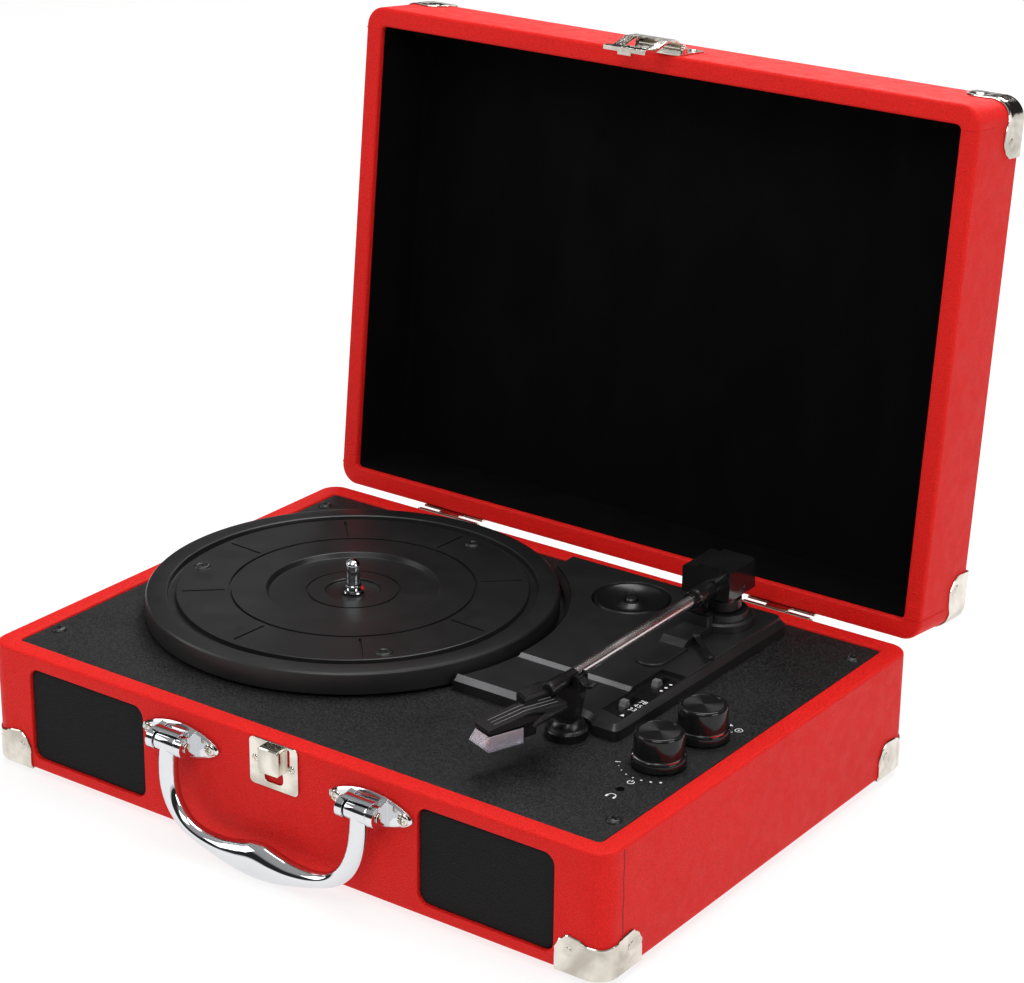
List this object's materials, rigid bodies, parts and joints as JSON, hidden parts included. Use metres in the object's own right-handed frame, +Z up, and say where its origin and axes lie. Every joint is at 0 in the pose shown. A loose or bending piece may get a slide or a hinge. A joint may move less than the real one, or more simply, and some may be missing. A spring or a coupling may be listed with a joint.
{
  "type": "suitcase record player",
  "caption": "Open leatherette suitcase with a hinged lid, carry handle, belt-driven turntable, tonearm and front speakers; it plays records and shuts into a carry case.",
  "frame": {"origin": "middle of the footprint of the open player, on the plane its feet stand on", "axes": "+X runs to the right along the front of the case, +Y runs from the front to the hinges, +Z is up"},
  "size_m": [0.3568, 0.3554, 0.3285],
  "materials": {
    "case_covering": "red grained leatherette",
    "deck_black": "fine grained black",
    "rubber_feet": "matt black rubber",
    "grille_cloth": "black woven cloth",
    "speaker_cone": "black paper cone and steel basket",
    "nickel_hardware": "warm nickel plate",
    "moulded_black": "fine grained black moulding",
    "chrome_hardware": "polished chrome",
    "spindle_chrome": "polished chrome",
    "zinc_cans": "zinc plate",
    "belt_rubber": "smooth black rubber",
    "circuit_board": "green board with parts",
    "lid_covering": "red grained leatherette",
    "lid_lining_cloth": "flat black cloth",
    "platter_black": "satin black moulding",
    "pulley_alloy": "turned",
    "knob_gloss": "gloss black with a spun top",
    "gloss_black": "gloss black",
    "arm_tube": "polished tube",
    "guard_clear": "cloudy clear plastic"
  },
  "bodies": {
    "base": {"case_base": "case_covering", "deck_panel": "deck_black", "foot_front_left": "rubber_feet", "foot_front_right": "rubber_feet", "foot_back_left": "rubber_feet", "foot_back_right": "rubber_feet", "speaker_grille_left": "grille_cloth", "speaker_grille_right": "grille_cloth", "speaker_left": "speaker_cone", "speaker_right": "speaker_cone", "base_corner_front_left": "nickel_hardware", "base_corner_front_right": "nickel_hardware", "base_corner_back_left": "nickel_hardware", "base_corner_back_right": "nickel_hardware", "rear_jack_plate": "moulded_black", "power_inlet": "moulded_black", "hinge_base_leaf_left": "nickel_hardware", "hinge_base_leaf_right": "nickel_hardware", "hinge_pin_left": "nickel_hardware", "hinge_pin_right": "nickel_hardware", "latch_keeper": "nickel_hardware", "handle_mount_left": "chrome_hardware", "handle_mount_right": "chrome_hardware", "spindle": "spindle_chrome", "motor": "zinc_cans", "drive_belt": "belt_rubber", "volume_pot": "zinc_cans", "function_switch": "zinc_cans", "headphone_jack": "moulded_black", "amplifier_board": "circuit_board", "tonearm_board": "moulded_black", "tonearm_base": "moulded_black", "arm_rest": "moulded_black"},
    "lid": {"lid_shell": "lid_covering", "lid_lining": "lid_lining_cloth", "hinge_lid_leaf_left": "nickel_hardware", "hinge_lid_leaf_right": "nickel_hardware", "lid_corner_front_left": "nickel_hardware", "lid_corner_front_right": "nickel_hardware", "lid_corner_back_left": "nickel_hardware", "lid_corner_back_right": "nickel_hardware", "latch_plate": "nickel_hardware"},
    "latch_lever": {"latch_lever": "nickel_hardware"},
    "handle": {"handle": "chrome_hardware"},
    "platter": {"platter": "platter_black"},
    "motor_pulley": {"motor_pulley": "pulley_alloy"},
    "volume_knob": {"volume_knob": "knob_gloss"},
    "function_knob": {"function_knob": "knob_gloss"},
    "speed_switch": {"speed_switch": "moulded_black"},
    "auto_stop_switch": {"auto_stop_switch": "moulded_black"},
    "adapter_45": {"adapter_45": "gloss_black"},
    "turret": {"tonearm_turret": "moulded_black"},
    "arm": {"tonearm_housing": "moulded_black", "tonearm_tube": "arm_tube", "headshell": "moulded_black", "cartridge": "gloss_black"},
    "stylus_guard": {"stylus_guard": "guard_clear"},
    "cue_lever": {"cue_lever": "moulded_black"},
    "cue_lift": {"cue_lift": "moulded_black"},
    "arm_clip": {"arm_clip": "moulded_black"}
  },
  "joints": [
    {"name": "lid_hinge", "type": "hinge", "parent": "base", "child": "lid", "pos_m": [0, 0.10175, 0.061], "axis": [-1, 0, 0], "range_deg": [-96, 0]},
    {"name": "latch_hinge", "type": "hinge", "parent": "lid", "child": "latch_lever", "pos_m": [0, 0.13952, 0.32279], "axis": [-1, 0, 0], "range_deg": [0, 150]},
    {"name": "handle_hinge", "type": "hinge", "parent": "base", "child": "handle", "pos_m": [0, -0.16785, 0.0505], "axis": [-1, 0, 0], "range_deg": [0, 80]},
    {"name": "platter_spin", "type": "hinge", "parent": "base", "child": "platter", "pos_m": [-0.064, -0.02425, 0.0665], "axis": [0, 0, 1], "continuous": true},
    {"name": "pulley_spin", "type": "hinge", "parent": "base", "child": "motor_pulley", "pos_m": [-0.13, 0.01975, 0.0675], "axis": [0, 0, 1], "continuous": true},
    {"name": "volume_turn", "type": "hinge", "parent": "base", "child": "volume_knob", "pos_m": [0.147, -0.07425, 0.0645], "axis": [0, 0, -1], "range_deg": [0, 280]},
    {"name": "function_turn", "type": "hinge", "parent": "base", "child": "function_knob", "pos_m": [0.148, -0.04025, 0.0645], "axis": [0, 0, -1], "range_deg": [0, 60]},
    {"name": "speed_slide", "type": "slide", "parent": "base", "child": "speed_switch", "axis": [0, 1, 0], "range_m": [0, 0.008]},
    {"name": "auto_stop_slide", "type": "slide", "parent": "base", "child": "auto_stop_switch", "axis": [0, 1, 0], "range_m": [0, 0.0065]},
    {"name": "adapter_lift", "type": "slide", "parent": "base", "child": "adapter_45", "axis": [0, 0, 1], "range_m": [0, 0.02]},
    {"name": "arm_swing", "type": "hinge", "parent": "base", "child": "turret", "pos_m": [0.0978, 0.05575, 0.0845], "axis": [0, 0, -1], "range_deg": [0, 42]},
    {"name": "arm_lift", "type": "hinge", "parent": "turret", "child": "arm", "pos_m": [0.0978, 0.05575, 0.093], "axis": [-0.9998, -0.0187, 0], "range_deg": [0, 10]},
    {"name": "guard_pull", "type": "slide", "parent": "arm", "child": "stylus_guard", "axis": [-0.3502, -0.9367, 0], "range_m": [0, 0.014]},
    {"name": "cue_turn", "type": "hinge", "parent": "base", "child": "cue_lever", "pos_m": [0.1036, 0.02475, 0.0764], "axis": [-1, 0, 0], "range_deg": [0, 50]},
    {"name": "cue_raise", "type": "slide", "parent": "base", "child": "cue_lift", "axis": [0, 0, 1], "range_m": [0, 0.0048]},
    {"name": "clip_hinge", "type": "hinge", "parent": "base", "child": "arm_clip", "pos_m": [0.105, -0.07485, 0.0939], "axis": [0, 1, 0], "range_deg": [-175, 0]}
  ],
  "couplings": [
    {"joint": "pulley_spin", "follows": "platter_spin", "ratio": 10.65},
    {"joint": "cue_turn", "follows": "cue_raise", "rad_per_m": 181.8}
  ]
}
